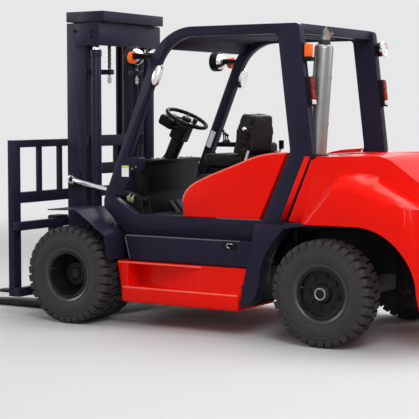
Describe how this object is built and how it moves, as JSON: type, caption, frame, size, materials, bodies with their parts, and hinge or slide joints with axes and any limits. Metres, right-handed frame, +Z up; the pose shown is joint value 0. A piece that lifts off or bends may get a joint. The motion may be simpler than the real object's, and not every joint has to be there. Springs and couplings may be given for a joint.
{
  "type": "counterbalance forklift truck",
  "caption": "Counterbalance forklift truck with twin drive tyres, tilting two-stage mast, sliding forks, overhead guard, steered rear wheels and a hinged engine hood.",
  "frame": {"origin": "on the floor, midway along and across the truck with its forks", "axes": "+X forward along the forks, +Y to the driver's left, +Z up"},
  "size_m": [5.12, 1.995, 2.69],
  "materials": {
    "red_paint": "glossy red machine enamel",
    "navy_paint": "semi-gloss dark navy enamel",
    "frame_paint": "satin black chassis paint",
    "tyre": "black rubber",
    "rim_paint": "dark wheel paint",
    "cast": "painted casting",
    "steel": "bare steel",
    "chrome": "hard chrome",
    "silver_pipe": "heat-proof silver",
    "black_plastic": "moulded black plastic",
    "floor_paint": "chequered floor plate",
    "seat_vinyl": "black vinyl",
    "clear_lens": "clear lens",
    "amber_lens": "amber lens",
    "red_lens": "red lens",
    "mirror": "convex mirror",
    "chain_steel": "oiled leaf chain"
  },
  "bodies": {
    "chassis": {"chassis_frame": "frame_paint", "drive_axle": "cast", "steer_axle": "cast", "engine_block": "cast", "counterweight": "red_paint", "radiator_grille": "black_plastic", "rear_deck": "red_paint", "tow_pin": "steel", "side_panels": "red_paint", "guard_sides": "navy_paint", "guard_roof": "navy_paint", "front_fenders": "navy_paint", "rear_fenders": "navy_paint", "side_lockers": "navy_paint", "steps": "red_paint", "floor_plate": "floor_paint", "dash_cowl": "black_plastic", "steering_column": "black_plastic", "pedals": "black_plastic", "exhaust_stack": "silver_pipe", "lamp_brackets": "black_plastic", "headlamp_shells": "chrome", "work_lamp_housings": "black_plastic", "clear_lenses": "clear_lens", "amber_lenses": "amber_lens", "red_lenses": "red_lens", "mirrors": "mirror"},
    "hood": {"hood": "frame_paint", "seat_mount": "black_plastic", "seat_cushion": "seat_vinyl", "seat_back": "seat_vinyl", "lever_console": "black_plastic"},
    "steering_wheel": {"steering_wheel": "black_plastic"},
    "front_wheel_left": {"front_tyres_left": "tyre", "front_rims_left": "rim_paint"},
    "front_wheel_right": {"front_tyres_right": "tyre", "front_rims_right": "rim_paint"},
    "knuckle_left": {"knuckle_left": "cast"},
    "knuckle_right": {"knuckle_right": "cast"},
    "rear_wheel_left": {"rear_tyre_left": "tyre", "rear_rim_left": "rim_paint"},
    "rear_wheel_right": {"rear_tyre_right": "tyre", "rear_rim_right": "rim_paint"},
    "mast_outer": {"mast_outer": "navy_paint", "tilt_lugs": "navy_paint", "lift_barrels": "navy_paint", "chain_anchor_runs": "chain_steel"},
    "mast_inner": {"mast_inner": "navy_paint", "lift_rods": "chrome", "chain_sheaves": "steel", "chain_lift_runs": "chain_steel"},
    "carriage": {"carriage": "navy_paint", "load_backrest": "navy_paint"},
    "fork_left": {"fork_left": "frame_paint"},
    "fork_right": {"fork_right": "frame_paint"},
    "tilt_barrels": {"tilt_barrels": "frame_paint"},
    "tilt_rods": {"tilt_rods": "chrome"}
  },
  "joints": [
    {"name": "front_wheel_left_spin", "type": "hinge", "parent": "chassis", "child": "front_wheel_left", "pos_m": [0.7, 0, 0.418], "axis": [0, 1, 0], "continuous": true},
    {"name": "front_wheel_right_spin", "type": "hinge", "parent": "chassis", "child": "front_wheel_right", "pos_m": [0.7, 0, 0.418], "axis": [0, 1, 0], "continuous": true},
    {"name": "steer_left", "type": "hinge", "parent": "chassis", "child": "knuckle_left", "pos_m": [-1.7, 0.69, 0.418], "axis": [0, 0, 1], "range_deg": [-70, 70]},
    {"name": "rear_wheel_left_spin", "type": "hinge", "parent": "knuckle_left", "child": "rear_wheel_left", "pos_m": [-1.7, 0, 0.418], "axis": [0, 1, 0], "continuous": true},
    {"name": "steer_right", "type": "hinge", "parent": "chassis", "child": "knuckle_right", "pos_m": [-1.7, -0.69, 0.418], "axis": [0, 0, 1], "range_deg": [-70, 70]},
    {"name": "rear_wheel_right_spin", "type": "hinge", "parent": "knuckle_right", "child": "rear_wheel_right", "pos_m": [-1.7, 0, 0.418], "axis": [0, 1, 0], "continuous": true},
    {"name": "steering_wheel_turn", "type": "hinge", "parent": "chassis", "child": "steering_wheel", "pos_m": [0.11, 0, 1.74], "axis": [-0.4472, 0, 0.8944], "continuous": true},
    {"name": "mast_tilt", "type": "hinge", "parent": "chassis", "child": "mast_outer", "pos_m": [0.7, 0, 0.418], "axis": [0, 1, 0], "range_deg": [-12, 6]},
    {"name": "mast_lift", "type": "slide", "parent": "mast_outer", "child": "mast_inner", "axis": [0, 0, 1], "range_m": [0, 1.5], "deforming": ["chain_anchor_runs"]},
    {"name": "carriage_lift", "type": "slide", "parent": "mast_inner", "child": "carriage", "axis": [0, 0, 1], "range_m": [0, 1.5], "deforming": ["chain_lift_runs"]},
    {"name": "fork_left_shift", "type": "slide", "parent": "carriage", "child": "fork_left", "axis": [0, 1, 0], "range_m": [-0.22, 0.44]},
    {"name": "fork_right_shift", "type": "slide", "parent": "carriage", "child": "fork_right", "axis": [0, -1, 0], "range_m": [-0.22, 0.44]},
    {"name": "tilt_barrel_pivot", "type": "hinge", "parent": "chassis", "child": "tilt_barrels", "pos_m": [0.25, 0, 1.045], "axis": [0, 1, 0], "range_deg": [-9, 5]},
    {"name": "tilt_rod_slide", "type": "slide", "parent": "tilt_barrels", "child": "tilt_rods", "axis": [0.978, 0, 0.2086], "range_m": [-0.165, 0.085]},
    {"name": "hood_open", "type": "hinge", "parent": "chassis", "child": "hood", "pos_m": [-1.267, 0, 1.312], "axis": [0, -1, 0], "range_deg": [0, 50]}
  ],
  "couplings": [
    {"joint": "steer_right", "follows": "steer_left", "ratio": 1},
    {"joint": "carriage_lift", "follows": "mast_lift", "ratio": 1},
    {"joint": "tilt_barrel_pivot", "follows": "mast_tilt", "ratio": 0.606},
    {"joint": "tilt_rod_slide", "follows": "mast_tilt", "m_per_rad": 0.718}
  ]
}
